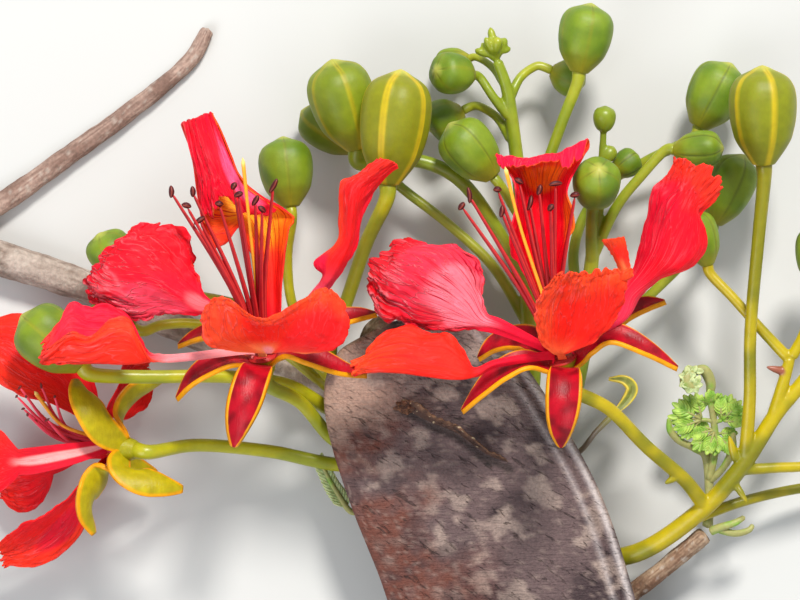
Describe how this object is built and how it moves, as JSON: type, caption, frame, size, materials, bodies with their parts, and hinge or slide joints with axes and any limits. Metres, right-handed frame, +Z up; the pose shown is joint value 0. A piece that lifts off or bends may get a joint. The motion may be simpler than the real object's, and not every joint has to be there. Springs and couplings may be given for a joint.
{
  "type": "flame tree flowering branch",
  "caption": "Cut branch of a flame tree lying flat: open red blooms, green buds on long stalks, a flat brown woody seed pod, a bare side twig and small young leaves.",
  "frame": {"origin": "on the table below the middle of the whole branch, centre of the underside of its bounding box", "axes": "+Z up from the table, +Y from the pod's far end towards the topmost buds, +X from the branch's cut end towards the racemes on the right"},
  "size_m": [0.2874, 0.414, 0.0753],
  "materials": {
    "bark": "dry brown-grey bark with lengthwise cracks",
    "pod": "weathered grey-brown woody shell, satin",
    "stalk": "smooth yellow-green skin, satin",
    "bud": "smooth green skin, satin",
    "sepal": "crimson inside, yellow-green outside, yellow rim, satin",
    "petal": "soft crinkled red to orange-red, matt",
    "stamen": "red filaments and dark maroon anthers, satin",
    "leaf": "soft pale green, matt"
  },
  "bodies": {
    "root": {"bloom_left_calyx": "sepal", "bloom_left_petal_front": "petal", "bloom_left_petal_lower_left": "petal", "bloom_left_petal_right": "petal", "bloom_left_petal_standard": "petal", "bloom_left_petal_upper_left": "petal", "bloom_left_stamens": "stamen", "bloom_right_calyx": "sepal", "bloom_right_petal_front": "petal", "bloom_right_petal_lower_left": "petal", "bloom_right_petal_right": "petal", "bloom_right_petal_standard": "petal", "bloom_right_petal_upper_left": "petal", "bloom_right_stamens": "stamen", "bloom_side_calyx": "sepal", "bloom_side_petal_back": "petal", "bloom_side_petal_back_up": "petal", "bloom_side_petal_lower": "petal", "bloom_side_petal_middle": "petal", "bloom_side_petal_upper": "petal", "bloom_side_stamens": "stamen", "leaf_buds": "leaf", "leaf_shoot": "leaf", "leaf_twig": "bark", "left_bud_1": "bud", "left_bud_2": "bud", "left_bud_3": "bud", "left_bud_4": "bud", "left_bud_5": "bud", "middle_bud_1": "bud", "middle_bud_2": "bud", "middle_bud_3": "bud", "middle_bud_4": "bud", "middle_bud_5": "bud", "pod": "pod", "pod_stalk": "bark", "raceme_left": "stalk", "raceme_middle": "stalk", "raceme_right": "stalk", "raceme_top": "stalk", "right_bud_1": "bud", "right_bud_2": "bud", "right_bud_3": "bud", "right_bud_4": "bud", "right_bud_5": "bud", "side_twig": "bark", "top_bud_1": "bud", "top_bud_2": "bud", "top_bud_3": "bud", "top_bud_4": "bud", "top_bud_5": "bud", "top_bud_6": "bud", "top_bud_7": "bud", "top_bud_8": "bud", "woody_branch": "bark", "young_fruit": "stalk", "young_leaf": "leaf"}
  },
  "joints": []
}
